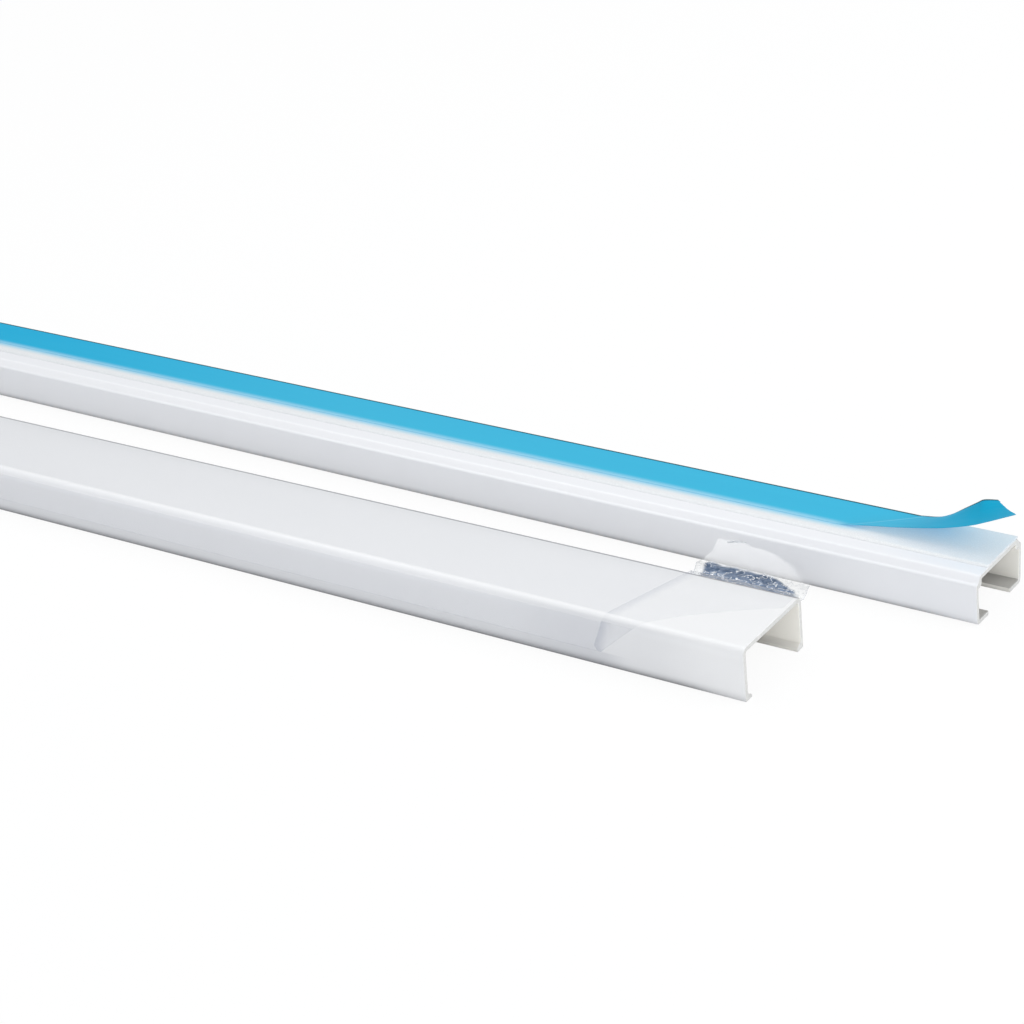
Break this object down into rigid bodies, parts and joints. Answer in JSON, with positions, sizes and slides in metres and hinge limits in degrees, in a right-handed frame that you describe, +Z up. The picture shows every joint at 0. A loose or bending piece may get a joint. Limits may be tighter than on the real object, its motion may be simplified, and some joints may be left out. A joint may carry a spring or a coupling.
{
  "type": "cord cover raceway",
  "caption": "Cord cover raceway lying open: an adhesive-backed base channel with inward lips beside its press-on U cover, blue liner peeling, clear film pulled back.",
  "frame": {"origin": "middle of the pair's footprint, on the floor", "axes": "+X along the cover towards its right cut end, +Y from the cover to the base channel, +Z up"},
  "size_m": [0.544, 0.0977, 0.03],
  "materials": {
    "base_plastic": "smooth white rigid vinyl, semi-gloss",
    "cover_plastic": "smooth white rigid vinyl, semi-gloss",
    "foam_tape": "white double-sided foam",
    "blue_liner": "blue polyethylene film",
    "clear_film": "thin clear film, crumpled where it is loose"
  },
  "bodies": {
    "root": {"base_channel": "base_plastic", "cover": "cover_plastic", "mounting_tape": "foam_tape", "release_liner": "blue_liner", "protective_film": "clear_film"}
  },
  "joints": []
}
